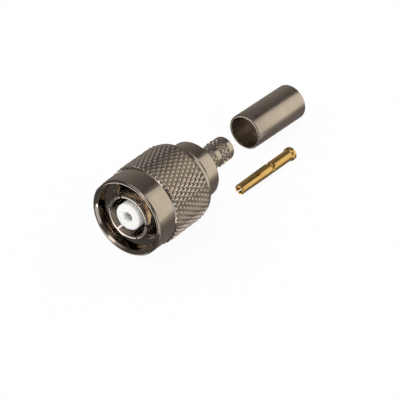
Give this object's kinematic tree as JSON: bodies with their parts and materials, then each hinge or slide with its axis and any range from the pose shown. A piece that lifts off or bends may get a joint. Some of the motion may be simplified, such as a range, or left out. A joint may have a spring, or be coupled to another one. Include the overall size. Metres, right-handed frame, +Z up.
{
  "type": "reverse polarity tnc crimp plug",
  "caption": "Coaxial crimp plug with a knurled threaded coupling nut, white insulator post, slotted outer contact, loose crimp ferrule and loose gold socket contact.",
  "frame": {"origin": "on the plug's axis, in the plane of the coupling nut's mouth", "axes": "+Y along the plug's axis from its mouth to its crimp stem, +Z up as the plug lies on its knurled nut"},
  "size_m": [0.015, 0.0542, 0.015],
  "materials": {
    "nickel_nut": "bright nickel plate on brass",
    "nickel_body": "bright nickel plate on brass",
    "nickel_contact": "bright nickel plate on brass",
    "ptfe": "turned PTFE",
    "spring_bronze": "plain spring bronze",
    "silicone": "moulded silicone",
    "gold": "gold plate",
    "nickel_ferrule": "bright nickel plate"
  },
  "bodies": {
    "plug": {"plug_body": "nickel_body", "outer_contact": "nickel_contact", "insulator": "ptfe", "snap_ring": "spring_bronze", "gasket": "silicone", "centre_contact": "gold", "crimp_ferrule": "nickel_ferrule"},
    "nut": {"coupling_nut": "nickel_nut"}
  },
  "joints": [
    {"name": "nut_spin", "type": "hinge", "parent": "plug", "child": "nut", "pos_m": [0, 0.0075, 0], "axis": [0, 1, 0], "continuous": true}
  ]
}
